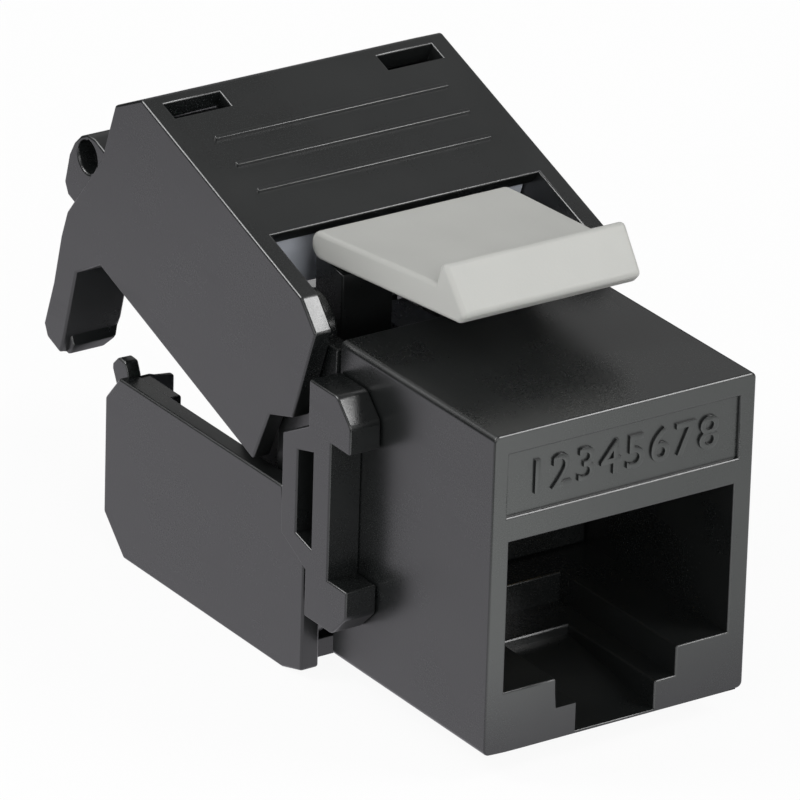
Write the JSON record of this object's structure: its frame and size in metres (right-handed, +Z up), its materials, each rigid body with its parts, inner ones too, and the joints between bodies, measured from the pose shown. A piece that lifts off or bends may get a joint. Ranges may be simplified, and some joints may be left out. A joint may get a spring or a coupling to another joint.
{
  "type": "keystone jack",
  "caption": "Toolless modular network jack with a plug socket in front, a snap latch on top and two hinged jaws behind that press wires onto cutting contacts.",
  "frame": {"origin": "middle of the housing's front face", "axes": "+X to the right seen from the front, +Y into the jack towards the cable, +Z up towards the snap latch"},
  "size_m": [0.018, 0.0362, 0.024],
  "materials": {
    "black_plastic": "satin moulded black",
    "grey_plastic": "satin moulded grey",
    "pale_plastic": "milky white",
    "board": "green solder mask",
    "gold_contact": "gold plated",
    "wire_contact_metal": "tin plated"
  },
  "bodies": {
    "housing": {"front_housing": "black_plastic", "contact_carrier": "black_plastic", "circuit_board": "board", "rear_body": "black_plastic", "contact_spring_1": "gold_contact", "contact_spring_2": "gold_contact", "contact_spring_3": "gold_contact", "contact_spring_4": "gold_contact", "contact_spring_5": "gold_contact", "contact_spring_6": "gold_contact", "contact_spring_7": "gold_contact", "contact_spring_8": "gold_contact", "wire_contact_1": "wire_contact_metal", "wire_contact_2": "wire_contact_metal", "wire_contact_3": "wire_contact_metal", "wire_contact_4": "wire_contact_metal", "wire_contact_5": "wire_contact_metal", "wire_contact_6": "wire_contact_metal", "wire_contact_7": "wire_contact_metal", "wire_contact_8": "wire_contact_metal"},
    "upper_jaw": {"upper_jaw": "black_plastic", "upper_wire_guide": "pale_plastic"},
    "lower_jaw": {"lower_jaw": "black_plastic", "lower_wire_guide": "pale_plastic"},
    "latch": {"snap_latch": "grey_plastic"}
  },
  "joints": [
    {"name": "upper_jaw_hinge", "type": "hinge", "parent": "housing", "child": "upper_jaw", "pos_m": [0, 0.0158, 0.0075], "axis": [1, 0, 0], "range_deg": [-19.5, 30]},
    {"name": "lower_jaw_hinge", "type": "hinge", "parent": "housing", "child": "lower_jaw", "pos_m": [0, 0.0158, -0.0065], "axis": [-1, 0, 0], "range_deg": [0, 50]},
    {"name": "latch_flex", "type": "hinge", "parent": "housing", "child": "latch", "pos_m": [0, 0.0173, 0.01055], "axis": [1, 0, 0], "range_deg": [0, 12], "stiffness_Nm_per_rad": 0.05}
  ]
}
